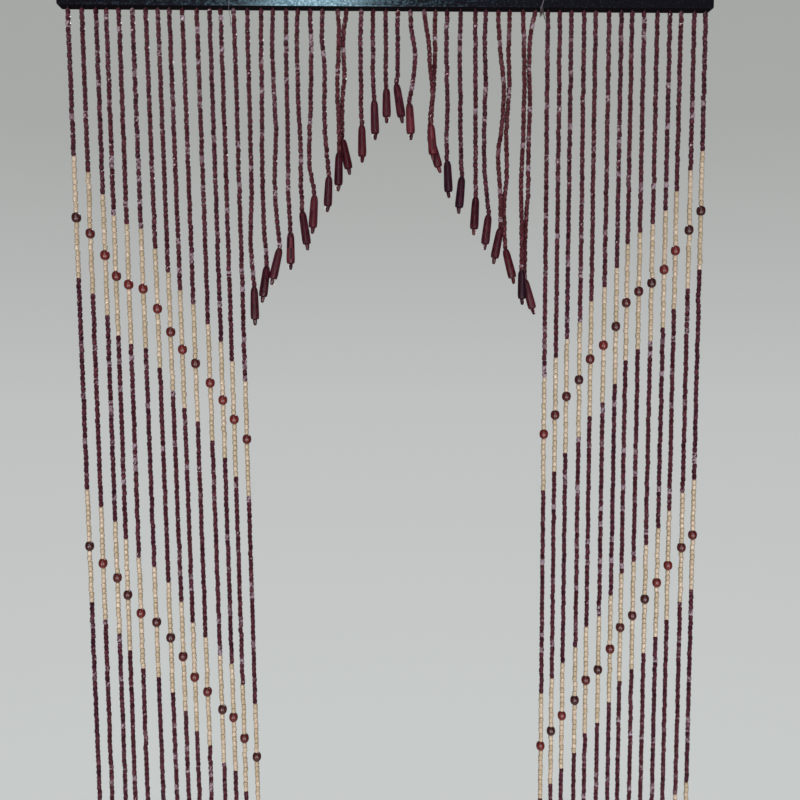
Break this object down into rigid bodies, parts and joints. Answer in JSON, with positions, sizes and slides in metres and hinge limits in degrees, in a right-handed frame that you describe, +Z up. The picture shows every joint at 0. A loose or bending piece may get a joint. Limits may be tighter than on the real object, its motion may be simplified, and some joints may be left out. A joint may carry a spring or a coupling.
{
  "type": "bead curtain on a wooden rail",
  "caption": "Doorway curtain of bead strings on a wooden wall rail: long striped side panels and a short valance that rises to a pointed arch.",
  "frame": {"origin": "middle of the rail's flat back face, which lies against the wall", "axes": "+Z up, along the strings; +X to the viewer's right, along the rail; the curtain's front faces -Y and +Y goes into the wall"},
  "size_m": [0.9016, 0.0254, 1.9999],
  "materials": {
    "rail_lacquer": "black gloss lacquer on a wooden lath",
    "dark_beads": "glossy dark wine red, cut beads and drop beads",
    "pale_beads": "glossy cream, short cylinders",
    "round_beads": "varnished red-brown wood, turned round",
    "thread": "thin twisted thread"
  },
  "bodies": {
    "root": {"rail": "rail_lacquer", "left_panel": "dark_beads", "left_valance": "dark_beads", "right_valance": "dark_beads", "right_panel": "dark_beads"}
  },
  "joints": []
}
